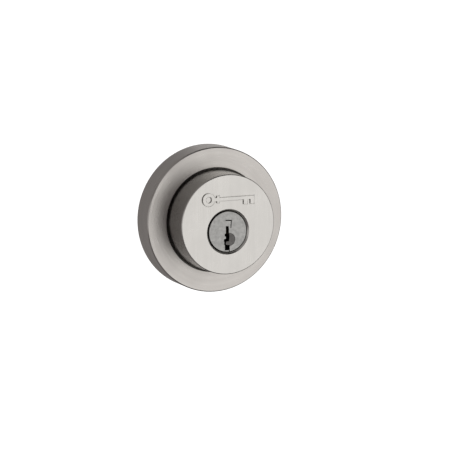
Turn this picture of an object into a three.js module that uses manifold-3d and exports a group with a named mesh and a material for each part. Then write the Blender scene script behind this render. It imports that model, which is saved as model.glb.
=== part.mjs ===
// The keyed outside half of a deadbolt door lock: a round rose, a collar standing out of it, the key plug
// with the pins, racks and sidebar that it holds, and the blade that reaches through the door to the bolt.
//
// Units are millimetres. The origin is where the plug's axis meets the face of the door, +Z is up and -Y
// points out of the door, towards whoever holds the key. A "depth" below is a distance in front of the door,
// so y = -depth, and a negative depth lies inside the door. The rose and collar share an axis that runs
// PLUG_DROP above the plug's.

import * as THREE from 'three';
import { mergeVertices } from 'three/addons/utils/BufferGeometryUtils.js';
import Module from 'manifold-3d';

const wasm = await Module();
wasm.setup();

// ---------------------------------------------------------------- driving dimensions

const PLUG_DROP = 3.3;
const SEAT_GAP = 0.05; // between faces that rest on each other
const FREE_GAP = 0.3; // between pieces that pass each other
const SIDE_PLAY = 0.15; // between a piece and the sides of the channel it is set in
const PAST = 1; // how far a cutting shape runs on past the faces it cuts

// Facets round a full circle.
const FINE = 64;
const MEDIUM = 40;
const COARSE = 12;

const ROSE = { radius: 33, depth: 12, wall: 2, hole: 23.8, rimInner: 30.8, edge: 0.35 };
const NIB = { count: 3, inner: 29.5, root: 0.5, width: 5, back: 6.2, front: 6.9 };
const PLATE = { radius: 30.4, back: 7.2, front: 9.7, skirtOuter: 29.2, skirtInner: 27.2 };
const HUB = { outer: 18.7, inner: 16.5, back: -6 };
const POST = { x: 16, radius: 2.7, back: -10, thread: 1.73, threadDepth: 14 };
const RING = { outer: 26.7, rimInner: 25.2, inner: 18.95, front: -0.3, web: 2, back: -6 };

const COLLAR = { radius: 22.6, base: 22.95, front: 26.5, back: 10, wall: 2.4, face: 2.5, edge: 0.3 };
const MOUTH = { radius: 10.3, throat: 9.45, throatFront: 25.6 };
const SLEEVE = { outer: 13, inner: 11.75, back: -6 };
const BOSS = { z: 14.2, radius: 2.05, hole: 1.15, holeDepth: 8 };
const EMBLEM = { z: 11.7, height: 0.5, length: 25.2, shank: 0.8, root: 0.3 };
const BOW = { outer: 3, eye: 1.4 };
const SHOULDER = { from: 6.9, to: 8.2, half: 1.6 };
const BITS = { insets: [1.9, 5.2], width: 1.9, drop: 2.9 };

const CYLINDER = { radius: 11.6, front: 23.7, bore: 8.7, back: -6 };
const GROOVE = { depth: 0.9, mouth: 1.3, floor: 0.5, front: 22.4, back: 3 };

const PLUG = { head: 9.1, headFront: 26.1, headBack: 24, radius: 8.6, back: -8.4, edge: 0.2 };
const CLIP_GROOVE = { radius: 7.9, front: -6.2, back: -7.2 };
const KEYWAY = { top: 2.5, bottom: -8.45, back: 2, slitLeft: 0.55, slitRight: 1 };
const INSERT = { x: 0.7, z: -3.6, radius: 2.9, left: -0.87, front: 26, back: 24, play: 0.1 };
const TOOL_SLOT = { width: 0.45, back: 22.4 };
const PIN_COUNT = 5;
const PIN = { radius: 1.45, length: 6, lift: 2.4, tip: -2.6, firstDepth: 19.34, pitch: 3.81, point: 0.7 };
const PIN_BORE = 1.525;
const PIN_WAIST = { radius: 0.95, low: 3, high: 4.2 };
const COVER = { halfWidth: 1.7, low: 7.95, high: 8.3, front: 21.2, back: 2.4 };
const RECESS = { radius: 5.2, front: -4.4 };

const POCKET = { x: 1.9, front: 22.5, back: 0 };
const CARRIER = { x: 2.2, radius: 8.5, front: 22.2, back: 2.3, shift: 1.9 };
const RACK = { left: 2.45, right: 4.5, half: 3.6, halfDepth: 1.2, notch: 0.6, notchHalf: 1.15 };
const LUG = { left: 1.15, root: 0.5, z: 1, half: 0.35, halfDepth: 0.45 };
const SIDEBAR = { left: 4.75, right: 8.4, half: 0.85, front: 20.5, back: 5, taper: 0.4 };
const BAR_SPRING = { radius: 0.42, wire: 0.1, left: 4.15, right: 6.65, turns: 4 };
const CARRIER_SPRING = { x: 4.5, z: -5.4, radius: 0.65, wire: 0.16, hole: 0.95, holeDepth: 8, turns: 6 };
const PIN_SPRING = { radius: 0.95, wire: 0.2, turns: 4 };

const CAP = { radius: 8.2, front: -8.45, back: -10.65, hole: 3.5, stopGap: 0.2 };
const CAP_SCREW = { z: 6.5, shank: 0.7, head: 1.5, headHeight: 0.9, tip: -4.5, drive: 0.4, driveDepth: 0.4,
  hole: 0.85, holeRun: 0.5, capHole: 0.95 };
const CLIP = { inner: 8, outer: 9.8, front: -6.3, back: -7, openingDegrees: 70 };
const BLADE = { radius: 3.3, disc: 4.9, discFront: -4.7, discBack: -8.1, back: -55, tipLength: 3,
  tipRadius: 2 };
const KEEPER = { radius: 18, hole: 10.3, front: -6.05, back: -7.25, postNotch: 3.05, screwHole: 1.3 };
const KEEPER_SCREW = { shank: 0.95, head: 2.1, headHeight: 1.3, tip: 0.5, drive: 0.5, driveDepth: 0.6 };

const pinDepths = Array.from({ length: PIN_COUNT }, (_, i) => PIN.firstDepth - i * PIN.pitch);

// The sidebar's springs stand between two pairs of rack channels, where the carrier's floor is whole.
const barSpringDepths = [
  (pinDepths[0] + pinDepths[1]) / 2,
  (pinDepths[3] + pinDepths[4]) / 2,
];

// ---------------------------------------------------------------- materials

const finish = (color, roughness, metalness = 1) => ({ color, roughness, metalness });
const SATIN_NICKEL = finish(0xcdc9c4, 0.38);
const PLUG_NICKEL = finish(0xa5a6a3, 0.5);
const STEEL = finish(0x9a9a98, 0.4);
const ZINC = finish(0x8f8f8c, 0.55);
const HARD_STEEL = finish(0x4a4846, 0.35);
const BRASS = finish(0xb79a5a, 0.4);
const SPRING_STEEL = finish(0xb4b4b0, 0.3);
const PLASTIC = finish(0x2b2b2b, 0.7, 0);

// ---------------------------------------------------------------- shaping helpers

// A solid turned about the Y axis from [radius, depth] points that run down the outside from front to back
// and up the inside from back to front. A profile that starts on the axis ends on it, and any other closes on
// itself.
function turned(profile, facets = MEDIUM) {
  const points = profile.map(([radius, depth]) => new THREE.Vector2(radius, -depth));
  if (profile[0][0] > 0) {
    points.push(points[0].clone());
  }
  return new THREE.LatheGeometry(points, facets);
}

function rod(radius, back, front, facets = MEDIUM) {
  return turned([[0, front], [radius, front], [radius, back], [0, back]], facets);
}

function tube(outer, inner, back, front, facets = MEDIUM) {
  return turned([[outer, front], [outer, back], [inner, back], [inner, front]], facets);
}

// A flat shape drawn in x and z, thickened from one depth to another.
function slab(shape, back, front, curveSegments = 12) {
  const depth = front - back;
  const geometry = new THREE.ExtrudeGeometry(shape, { depth, bevelEnabled: false, curveSegments });
  return geometry.rotateX(Math.PI / 2).translate(0, -back, 0);
}

function outline(points) {
  return new THREE.Shape(points.map(([x, z]) => new THREE.Vector2(x, z)));
}

function block(xRange, zRange, depthRange) {
  const [x0, x1] = xRange;
  const [z0, z1] = zRange;
  const [d0, d1] = depthRange;
  const geometry = new THREE.BoxGeometry(x1 - x0, d1 - d0, z1 - z0);
  return geometry.translate((x0 + x1) / 2, -(d0 + d1) / 2, (z0 + z1) / 2);
}

// A coil spring standing on z = 0, its wire a square section swept along a helix.
function coil({ radius, wire, turns }, length) {
  class Helix extends THREE.Curve {
    getPoint(t, target = new THREE.Vector3()) {
      const angle = 2 * Math.PI * turns * t;
      const rise = wire + t * (length - 2 * wire);
      return target.set(radius * Math.cos(angle), radius * Math.sin(angle), rise);
    }
  }
  const section = outline([[wire, 0], [0, wire], [-wire, 0], [0, -wire]]);
  const steps = turns * 6;
  return new THREE.ExtrudeGeometry(section, { steps, extrudePath: new Helix(), bevelEnabled: false });
}

// Turns a geometry made with its depth along -Y so that its depth runs up +Z.
const upright = (geometry) => geometry.rotateX(-Math.PI / 2);

function solid(geometry) {
  const bare = geometry.clone();
  bare.deleteAttribute('normal');
  bare.deleteAttribute('uv');
  const merged = mergeVertices(bare, 1e-4);
  const mesh = new wasm.Mesh({
    numProp: 3,
    vertProperties: new Float32Array(merged.attributes.position.array),
    triVerts: new Uint32Array(merged.index.array),
  });
  return new wasm.Manifold(mesh);
}

function geometryOf(manifold) {
  const mesh = manifold.getMesh();
  const geometry = new THREE.BufferGeometry();
  geometry.setAttribute('position', new THREE.BufferAttribute(mesh.vertProperties, 3));
  geometry.setIndex(new THREE.BufferAttribute(mesh.triVerts, 1));
  geometry.computeVertexNormals();
  return geometry;
}

// The base with some geometries joined to it and then others cut out of it.
function carve(base, { join = [], cut = [] }) {
  const joined = join.reduce((body, piece) => body.add(solid(piece)), solid(base));
  const result = cut.reduce((body, piece) => body.subtract(solid(piece)), joined);
  return geometryOf(result);
}

function piece(name, geometry, look, x = 0, depth = 0, z = 0) {
  const mesh = new THREE.Mesh(geometry, new THREE.MeshStandardMaterial(look));
  mesh.name = name;
  mesh.position.set(x, -depth, z);
  return mesh;
}

// ---------------------------------------------------------------- rose, collar and mounting

// A shallow cup, open at the back, with a round hole in its flat face. Three nibs inside the rim snap behind
// the mounting plate's edge.
function roseGeometry() {
  const { radius, depth, wall, hole, rimInner, edge } = ROSE;
  const cup = turned([
    [radius - edge, depth],
    [radius, depth - edge],
    [radius, 0],
    [rimInner, 0],
    [rimInner, depth - wall],
    [hole, depth - wall],
    [hole, depth],
  ], FINE);
  const nibs = [];
  for (let i = 0; i < NIB.count; i += 1) {
    const half = NIB.width / 2;
    const nib = block([NIB.inner, rimInner + NIB.root], [-half, half], [NIB.back, NIB.front]);
    nibs.push(nib.rotateY(-Math.PI / 2 + (i * 2 * Math.PI) / NIB.count));
  }
  return carve(cup, { join: nibs });
}

// A raised key: a ring for its bow, a shank with a shoulder, and two bits.
function emblemPieces() {
  const { z, height, length, shank, root } = EMBLEM;
  const depths = [COLLAR.front - root, COLLAR.front + height];
  const left = -length / 2;
  const right = length / 2;
  const centre = left + BOW.outer;
  const bow = new THREE.Shape().absarc(centre, 0, BOW.outer, 0, 2 * Math.PI);
  bow.holes.push(new THREE.Path().absarc(centre, 0, BOW.eye, 0, 2 * Math.PI, true));
  const bits = BITS.insets.map((inset) =>
    block([right - inset, right - inset + BITS.width], [-BITS.drop, 0], depths));
  const shapes = [
    slab(bow, ...depths),
    block([centre + (BOW.outer + BOW.eye) / 2, right], [-shank, shank], depths),
    block([left + SHOULDER.from, left + SHOULDER.to], [-SHOULDER.half, SHOULDER.half], depths),
    ...bits,
  ];
  return shapes.map((shape) => shape.translate(0, 0, z));
}

// A hollow drum with a slight draft, closed in front but for the plug's tapered mouth, which lies below its
// centre. The sleeve behind the mouth holds the cylinder body, with a screw boss above it and one below.
function collarGeometry() {
  const { radius, base, front, back, wall, face, edge } = COLLAR;
  const drum = turned([
    [0, front],
    [radius - edge, front],
    [radius, front - edge],
    [base, back],
    [radius - wall, back],
    [radius - wall, front - face],
    [0, front - face],
  ], FINE);
  const root = front - face / 2;
  const sleeve = tube(SLEEVE.outer, SLEEVE.inner, SLEEVE.back, root).translate(0, 0, -PLUG_DROP);
  const bosses = [BOSS.z, -BOSS.z].map((z) =>
    rod(BOSS.radius, SLEEVE.back, root, COARSE).translate(0, 0, z - PLUG_DROP));
  const holes = [BOSS.z, -BOSS.z].map((z) =>
    rod(BOSS.hole, SLEEVE.back - PAST, SLEEVE.back + BOSS.holeDepth, COARSE).translate(0, 0, z - PLUG_DROP));
  const taper = (MOUTH.radius - MOUTH.throat) / (front - MOUTH.throatFront);
  const mouth = turned([
    [0, front + PAST],
    [MOUTH.radius + taper * PAST, front + PAST],
    [MOUTH.throat, MOUTH.throatFront],
    [MOUTH.throat, front - face],
    [SLEEVE.inner, front - face],
    [SLEEVE.inner, 0],
    [0, 0],
  ]).translate(0, 0, -PLUG_DROP);
  return carve(drum, { join: [sleeve, ...bosses, ...emblemPieces()], cut: [mouth, ...holes] });
}

// A flange that backs the rose and stands on the door by its skirt, with a hub into the door's bore and two
// threaded posts that the through screws pull on.
function mountingPlateGeometry() {
  const { radius, back, front, skirtOuter, skirtInner } = PLATE;
  const flange = turned([
    [0, front],
    [radius, front],
    [radius, back],
    [skirtOuter, back],
    [skirtOuter, 0],
    [skirtInner, 0],
    [skirtInner, back],
    [0, back],
  ], FINE);
  const hub = tube(HUB.outer, HUB.inner, HUB.back, (back + front) / 2).translate(0, 0, -PLUG_DROP);
  const well = rod(HUB.inner, back - PAST, front + PAST).translate(0, 0, -PLUG_DROP);
  const posts = [];
  const threads = [];
  for (const x of [-POST.x, POST.x]) {
    const thread = rod(POST.thread, POST.back - PAST, POST.back + POST.threadDepth, COARSE);
    posts.push(rod(POST.radius, POST.back, front, COARSE).translate(x, 0, -PLUG_DROP));
    threads.push(thread.translate(x, 0, -PLUG_DROP));
  }
  const bored = geometryOf(solid(flange).subtract(solid(well)));
  return carve(bored, { join: [hub, ...posts], cut: threads });
}

// Centres the hub in the larger of the two standard door bores.
function adapterRingGeometry() {
  const { outer, rimInner, inner, front, web, back } = RING;
  return turned([
    [outer, front],
    [outer, back],
    [rimInner, back],
    [rimInner, front - web],
    [inner, front - web],
    [inner, front],
  ]);
}

// ---------------------------------------------------------------- cylinder

function cylinderBodyGeometry() {
  const { radius, front, bore, back } = CYLINDER;
  const body = tube(radius, bore, back, front, FINE);
  const inside = bore - PAST / 2;
  const groove = outline([
    [inside, -GROOVE.mouth],
    [bore + GROOVE.depth, -GROOVE.floor],
    [bore + GROOVE.depth, GROOVE.floor],
    [inside, GROOVE.mouth],
  ]);
  return carve(body, { cut: [slab(groove, GROOVE.back, GROOVE.front)] });
}

// Clamps the cylinder body into the sleeve and the hub against the collar.
function keeperGeometry() {
  const shape = new THREE.Shape().absarc(0, 0, KEEPER.radius, 0, 2 * Math.PI);
  shape.holes.push(new THREE.Path().absarc(0, 0, KEEPER.hole, 0, 2 * Math.PI, true));
  const { front, back } = KEEPER;
  const notches = [-POST.x, POST.x].map((x) =>
    rod(KEEPER.postNotch, back - PAST, front + PAST, COARSE).translate(x, 0, 0));
  const holes = [-BOSS.z, BOSS.z].map((z) =>
    rod(KEEPER.screwHole, back - PAST, front + PAST, COARSE).translate(0, 0, z));
  return carve(slab(shape, back, front, 24), { cut: [...notches, ...holes] });
}

// A cheese-head screw with its head's underside at depth 0 and its shank running forwards, slotted across.
function screwGeometry({ shank, head, headHeight, length, slotWidth, slotDepth }) {
  const body = turned([
    [0, length],
    [shank * 0.7, length],
    [shank, length - shank * 0.5],
    [shank, 0],
    [head, 0],
    [head, -headHeight],
    [0, -headHeight],
  ], COARSE);
  const reach = head + PAST;
  const slotDepths = [-headHeight - PAST, -headHeight + slotDepth];
  const slot = block([-reach, reach], [-slotWidth / 2, slotWidth / 2], slotDepths);
  return carve(body, { cut: [slot] });
}

// ---------------------------------------------------------------- plug

// A paracentric keyway: a straight slot at the top and a wider one at the bottom, with wards between them
// that step in from either side. A thin slit runs on from its foot and out through the plug's rim.
function keywayShape() {
  const { top, bottom, slitLeft, slitRight } = KEYWAY;
  return outline([
    [-1, top],
    [-0.9, 0],
    [-0.9, -0.7],
    [-1.45, -0.95],
    [-1.45, -2],
    [-0.9, -2.25],
    [-0.9, -3.1],
    [-1.9, -3.35],
    [-1.9, -4.4],
    [-1.7, -4.6],
    [-1.7, -5.9],
    [-1.4, -6.15],
    [-1.4, bottom],
    [slitLeft, bottom],
    [slitLeft, -PLUG.head - PAST],
    [slitRight, -PLUG.head - PAST],
    [slitRight, -6.15],
    [-0.8, -5.9],
    [-0.8, -4.6],
    [0.77, -4.4],
    [0.77, -3.3],
    [0.88, -3.1],
    [0.88, -0.9],
    [0.6, -0.7],
    [0.6, 1.1],
    [0.45, top],
  ]);
}

// The slot for the tool that resets the racks: a bar across and a leg down its right-hand end.
function toolSlotShape() {
  const half = TOOL_SLOT.width / 2;
  return outline([
    [-1.1, 5.2 + half],
    [1.8 + half, 5 + half],
    [1.55 + half, 1.6],
    [1.55 - half, 1.6],
    [1.8 - half, 5 - half],
    [-1.1, 5.2 - half],
  ]);
}

// The part of the insert's disc that lies right of a straight edge, which falls inside the keyway.
function insertShape(radius) {
  const half = Math.acos((INSERT.left - INSERT.x) / radius);
  return new THREE.Shape().absarc(INSERT.x, INSERT.z, radius, -half, half);
}

// Fills the plug's face right of the keyway, and carries the keyway's lowest ward.
function insertGeometry() {
  const disc = slab(insertShape(INSERT.radius), INSERT.back, INSERT.front);
  return carve(disc, { cut: [slab(keywayShape(), INSERT.back - PAST, INSERT.front + PAST)] });
}

function plugBodyGeometry() {
  const { head, headFront, headBack, radius, back, edge } = PLUG;
  const barrel = turned([
    [0, headFront],
    [head - edge, headFront],
    [head, headFront - edge],
    [head, headBack],
    [radius, headBack],
    [radius, CLIP_GROOVE.front],
    [CLIP_GROOVE.radius, CLIP_GROOVE.front],
    [CLIP_GROOVE.radius, CLIP_GROOVE.back],
    [radius, CLIP_GROOVE.back],
    [radius, back],
    [0, back],
  ], MEDIUM);
  const ahead = headFront + PAST;
  const behind = back - PAST;
  const outside = head + PAST;
  const pinFloor = PIN.tip - FREE_GAP;
  const bores = pinDepths.map((depth) =>
    upright(rod(PIN_BORE, pinFloor, head, COARSE)).translate(0, -depth, 0));
  const lastLug = pinDepths[PIN_COUNT - 1] - CARRIER.shift - LUG.halfDepth - FREE_GAP;
  const firstLug = pinDepths[0] + LUG.halfDepth + FREE_GAP;
  const lugLow = LUG.z - LUG.half - FREE_GAP;
  const lugHigh = LUG.z + LUG.half + PIN.lift + FREE_GAP;
  const screwHoles = [-CAP_SCREW.z, CAP_SCREW.z].map((z) =>
    rod(CAP_SCREW.hole, behind, CAP_SCREW.tip + CAP_SCREW.holeRun, COARSE).translate(0, 0, z));
  const coverHalf = COVER.halfWidth + SIDE_PLAY;
  const coverDepths = [COVER.back - FREE_GAP, COVER.front + FREE_GAP];
  return carve(barrel, {
    cut: [
      block([POCKET.x, outside], [-outside, outside], [POCKET.back, POCKET.front]),
      slab(keywayShape(), KEYWAY.back, ahead),
      slab(toolSlotShape(), TOOL_SLOT.back, ahead),
      slab(insertShape(INSERT.radius + INSERT.play), INSERT.back - INSERT.play, ahead),
      ...bores,
      block([-coverHalf, coverHalf], [COVER.low - SIDE_PLAY, outside], coverDepths),
      block([LUG.left - SIDE_PLAY, POCKET.x + SIDE_PLAY], [lugLow, lugHigh], [lastLug, firstLug]),
      rod(RECESS.radius, behind, RECESS.front),
      ...screwHoles,
    ],
  });
}

// Stands with its tip at z = 0. Its waist takes the lug of the rack beside it.
function pinGeometry() {
  const { radius, length, point } = PIN;
  return upright(turned([
    [0, length],
    [radius, length],
    [radius, PIN_WAIST.high],
    [PIN_WAIST.radius, PIN_WAIST.high],
    [PIN_WAIST.radius, PIN_WAIST.low],
    [radius, PIN_WAIST.low],
    [radius, point],
    [radius - point, 0],
    [0, 0],
  ], COARSE));
}

// Rides in the carrier beside its pin, with a notch at mid height that the sidebar drops into.
function rackGeometry() {
  const { left, right, half, halfDepth, notch, notchHalf } = RACK;
  const bar = block([left, right], [-half, half], [-halfDepth, halfDepth]);
  const lugDepths = [-LUG.halfDepth, LUG.halfDepth];
  const lug = block([LUG.left, left + LUG.root], [LUG.z - LUG.half, LUG.z + LUG.half], lugDepths);
  const across = halfDepth + PAST;
  const gap = block([right - notch, right + PAST], [-notchHalf, notchHalf], [-across, across]);
  return carve(bar, { join: [lug], cut: [gap] });
}

// Fills the plug's open side. It has a channel for each rack, the sidebar's slot across them and, from behind,
// the hole for its return spring.
function carrierGeometry() {
  const { x, radius, front, back } = CARRIER;
  const half = Math.acos(x / radius);
  const segment = new THREE.Shape().absarc(0, 0, radius, -half, half);
  const floor = RACK.right + FREE_GAP;
  const channelHeights = [-RACK.half - FREE_GAP, RACK.half + PIN.lift + FREE_GAP];
  const channelHalf = RACK.halfDepth + SIDE_PLAY;
  const channels = pinDepths.map((depth) =>
    block([x - PAST, floor], channelHeights, [depth - channelHalf, depth + channelHalf]));
  const slotHalf = SIDEBAR.half + FREE_GAP;
  const slotDepths = [SIDEBAR.back - FREE_GAP, SIDEBAR.front + FREE_GAP];
  const slot = block([BAR_SPRING.left - SEAT_GAP, radius + PAST], [-slotHalf, slotHalf], slotDepths);
  const springHole = rod(CARRIER_SPRING.hole, back - PAST, back + CARRIER_SPRING.holeDepth, COARSE)
    .translate(CARRIER_SPRING.x, 0, CARRIER_SPRING.z);
  return carve(slab(segment, back, front, 20), { cut: [...channels, slot, springHole] });
}

// A bar with a wedge-shaped outer edge for the cylinder's groove and a thinner inner edge for the racks'
// notches, relieved where its springs push on it.
function sidebarGeometry() {
  const { left, right, half, front, back, taper } = SIDEBAR;
  const bar = slab(outline([
    [left, taper - half],
    [left + taper, -half],
    [right - 2 * taper, -half],
    [right, taper - half],
    [right, half - taper],
    [right - 2 * taper, half],
    [left + taper, half],
    [left, half - taper],
  ]), back, front);
  const reliefRight = BAR_SPRING.right + SEAT_GAP;
  const relief = BAR_SPRING.radius + FREE_GAP;
  const reliefs = barSpringDepths.map((depth) =>
    block([left - PAST, reliefRight], [-half - PAST, half + PAST], [depth - relief, depth + relief]));
  return carve(bar, { cut: reliefs });
}

// An open ring in the plug's groove that stops the plug from being drawn out forwards.
function clipGeometry() {
  const opening = THREE.MathUtils.degToRad(CLIP.openingDegrees);
  const start = -Math.PI / 2 + opening / 2;
  const end = start + 2 * Math.PI - opening;
  const shape = new THREE.Shape().absarc(0, 0, CLIP.outer, start, end);
  shape.absarc(0, 0, CLIP.inner, end, start, true);
  return slab(shape, CLIP.back, CLIP.front, 18);
}

// Closes the recess behind the plug. A quarter of its hole is filled, which leaves the half-round blade a
// quarter turn of free play.
function capGeometry() {
  const { radius, front, back, hole, stopGap } = CAP;
  const disc = new THREE.Shape().absarc(0, 0, radius, 0, 2 * Math.PI);
  const reach = Math.sqrt(hole * hole - stopGap * stopGap);
  const near = Math.asin(stopGap / hole);
  const opening = new THREE.Path();
  opening.moveTo(stopGap, stopGap);
  opening.lineTo(stopGap, reach);
  opening.absarc(0, 0, hole, Math.PI / 2 - near, 2 * Math.PI + near, false);
  opening.lineTo(stopGap, stopGap);
  disc.holes.push(opening);
  const screwHoles = [-CAP_SCREW.z, CAP_SCREW.z].map((z) =>
    rod(CAP_SCREW.capHole, back - PAST, front + PAST, COARSE).translate(0, 0, z));
  return carve(slab(disc, back, front, 24), { cut: screwHoles });
}

// The blade that works the bolt: a half-round bar, flat side up, with a round foot held in the plug's recess.
function bladeGeometry() {
  const { radius, disc, discFront, discBack, back, tipLength, tipRadius } = BLADE;
  const halfRound = (r) => new THREE.Shape().absarc(0, 0, r, -Math.PI, 0);
  const foot = rod(disc, discBack, discFront);
  const shaft = slab(halfRound(radius), back + tipLength, (discFront + discBack) / 2);
  const tip = slab(halfRound(tipRadius), back, discBack);
  return carve(foot, { join: [shaft, tip] });
}

// ---------------------------------------------------------------- assembly

function plugGroup() {
  const plug = new THREE.Group();
  plug.add(piece('plug_body', plugBodyGeometry(), PLUG_NICKEL));
  plug.add(piece('anti_drill_insert', insertGeometry(), HARD_STEEL));
  const { halfWidth } = COVER;
  const cover = block([-halfWidth, halfWidth], [COVER.low, COVER.high], [COVER.back, COVER.front]);
  plug.add(piece('pin_spring_cover', cover, BRASS));
  plug.add(piece('rack_carrier', carrierGeometry(), ZINC));
  plug.add(piece('sidebar', sidebarGeometry(), BRASS));

  const pinTop = PIN.tip + PIN.length;
  pinDepths.forEach((depth, i) => {
    plug.add(piece(`pin_${i + 1}`, pinGeometry(), BRASS, 0, depth, PIN.tip));
    const spring = coil(PIN_SPRING, COVER.low - pinTop - 2 * SEAT_GAP);
    plug.add(piece(`pin_spring_${i + 1}`, spring, SPRING_STEEL, 0, depth, pinTop + SEAT_GAP));
    plug.add(piece(`rack_${i + 1}`, rackGeometry(), STEEL, 0, depth, 0));
  });

  barSpringDepths.forEach((depth, i) => {
    const spring = coil(BAR_SPRING, BAR_SPRING.right - BAR_SPRING.left).rotateY(Math.PI / 2);
    plug.add(piece(`sidebar_spring_${i + 1}`, spring, SPRING_STEEL, BAR_SPRING.left, depth, 0));
  });

  const { x, z, holeDepth } = CARRIER_SPRING;
  const springLength = CARRIER.back + holeDepth - POCKET.back - 2 * SEAT_GAP;
  const carrierSpring = coil(CARRIER_SPRING, springLength).rotateX(Math.PI / 2);
  plug.add(piece('carrier_spring', carrierSpring, SPRING_STEEL, x, POCKET.back + SEAT_GAP, z));

  plug.add(piece('plug_clip', clipGeometry(), SPRING_STEEL));
  plug.add(piece('driver_cap', capGeometry(), ZINC));
  plug.add(piece('torque_blade', bladeGeometry(), STEEL));
  const underHead = CAP.back - SEAT_GAP;
  [CAP_SCREW.z, -CAP_SCREW.z].forEach((screwZ, i) => {
    const screw = screwGeometry({
      shank: CAP_SCREW.shank,
      head: CAP_SCREW.head,
      headHeight: CAP_SCREW.headHeight,
      length: CAP_SCREW.tip - underHead,
      slotWidth: CAP_SCREW.drive,
      slotDepth: CAP_SCREW.driveDepth,
    });
    plug.add(piece(`cap_screw_${i + 1}`, screw, SPRING_STEEL, 0, underHead, screwZ));
  });
  return plug;
}

function trimGroup() {
  const trim = new THREE.Group();
  trim.position.z = PLUG_DROP;
  trim.add(piece('rose', roseGeometry(), SATIN_NICKEL));
  trim.add(piece('collar', collarGeometry(), SATIN_NICKEL));
  trim.add(piece('mounting_plate', mountingPlateGeometry(), ZINC));
  return trim;
}

function cylinderGroup() {
  const cylinder = new THREE.Group();
  cylinder.add(piece('cylinder_body', cylinderBodyGeometry(), ZINC));
  cylinder.add(piece('cylinder_keeper', keeperGeometry(), STEEL));
  const underHead = KEEPER.back - SEAT_GAP;
  [BOSS.z, -BOSS.z].forEach((screwZ, i) => {
    const screw = screwGeometry({
      shank: KEEPER_SCREW.shank,
      head: KEEPER_SCREW.head,
      headHeight: KEEPER_SCREW.headHeight,
      length: KEEPER_SCREW.tip - underHead,
      slotWidth: KEEPER_SCREW.drive,
      slotDepth: KEEPER_SCREW.driveDepth,
    });
    cylinder.add(piece(`keeper_screw_${i + 1}`, screw, SPRING_STEEL, 0, underHead, screwZ));
  });
  cylinder.add(piece('adapter_ring', adapterRingGeometry(), PLASTIC));
  return cylinder;
}

const lock = new THREE.Group();
lock.add(trimGroup(), cylinderGroup(), plugGroup());

export default lock;
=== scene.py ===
"""The keyed outside half of a deadbolt in satin nickel: its finely shaped pieces, metals, light and camera.

Sizes are in millimetres in the part's frame, with +Y into the door and +Z up. A depth is a distance in front
of the door, so y = -depth, and "back" and "front" are depths.
"""

import math

import bmesh
import bpy
from mathutils import Matrix, Vector


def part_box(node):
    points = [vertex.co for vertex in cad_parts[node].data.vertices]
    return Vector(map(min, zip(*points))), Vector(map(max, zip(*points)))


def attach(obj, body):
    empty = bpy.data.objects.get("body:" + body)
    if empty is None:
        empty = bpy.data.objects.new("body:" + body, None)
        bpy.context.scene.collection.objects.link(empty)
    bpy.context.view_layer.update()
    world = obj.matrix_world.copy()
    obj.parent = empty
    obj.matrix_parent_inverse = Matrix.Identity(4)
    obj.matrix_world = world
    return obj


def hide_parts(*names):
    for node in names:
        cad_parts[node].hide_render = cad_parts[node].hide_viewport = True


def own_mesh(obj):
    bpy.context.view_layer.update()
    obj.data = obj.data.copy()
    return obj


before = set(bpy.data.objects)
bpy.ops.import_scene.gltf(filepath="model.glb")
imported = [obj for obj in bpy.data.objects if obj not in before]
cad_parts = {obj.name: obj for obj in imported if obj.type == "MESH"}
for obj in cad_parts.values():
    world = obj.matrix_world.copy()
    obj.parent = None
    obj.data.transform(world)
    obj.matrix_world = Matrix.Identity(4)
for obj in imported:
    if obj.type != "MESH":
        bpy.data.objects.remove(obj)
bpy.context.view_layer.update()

MM = 0.001
SCENE = bpy.context.scene


# ---------------------------------------------------------------- sizes from the frame


def span(node):
    """A CAD node's lowest and highest corner in millimetres, as (x, depth, z)."""
    low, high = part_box(node)
    return Vector((low.x, -high.y, low.z)) / MM, Vector((high.x, -low.y, high.z)) / MM


def radius_of(node):
    low, high = span(node)
    return (high.x - low.x) / 2


def middle_depth(node):
    low, high = span(node)
    return (low.y + high.y) / 2


ROSE_LOW, ROSE_HIGH = span("rose")
TRIM_Z = (ROSE_LOW.z + ROSE_HIGH.z) / 2  # the rose's and collar's axis, above the plug's
ROSE_R = radius_of("rose")
ROSE_FRONT = ROSE_HIGH.y
COLLAR_R = radius_of("collar")
EMBLEM_RISE = 0.5
COLLAR_FRONT = span("collar")[1].y - EMBLEM_RISE
CYLINDER_FRONT = span("cylinder_body")[1].y
PLUG_LOW, PLUG_HIGH = span("plug_body")
HEAD_R = radius_of("plug_body")
PLUG_R = HEAD_R - 0.5  # behind the head

# ---------------------------------------------------------------- sizes that several pieces share

PAST = 1  # how far a cutting shape runs on past the faces it cuts
SLEEVE_BACK = -6  # where the collar's sleeve, the cylinder body and the hub end
BOSS_Z = 14.2  # the collar's screw bosses, above and below the plug's axis
POST_X = 16.0  # the mounting plate's posts, to either side of it
MOUTH_RADIUS = 10.3
INSERT_RADIUS = 2.9
CAP_SCREW_Z = 6.5
PIN_COUNT = 5


# ---------------------------------------------------------------- mesh helpers

NEARLY_HALF = 0.49  # of an edge, which its two rounded corners share
SAME_PLACE = 1e-7  # metres between points that are merged
SHARP_ANGLE = 32  # degrees, above which an edge is shaded as a sharp one
TURN_STEPS = 24  # in one turn of a spring's wire


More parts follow.
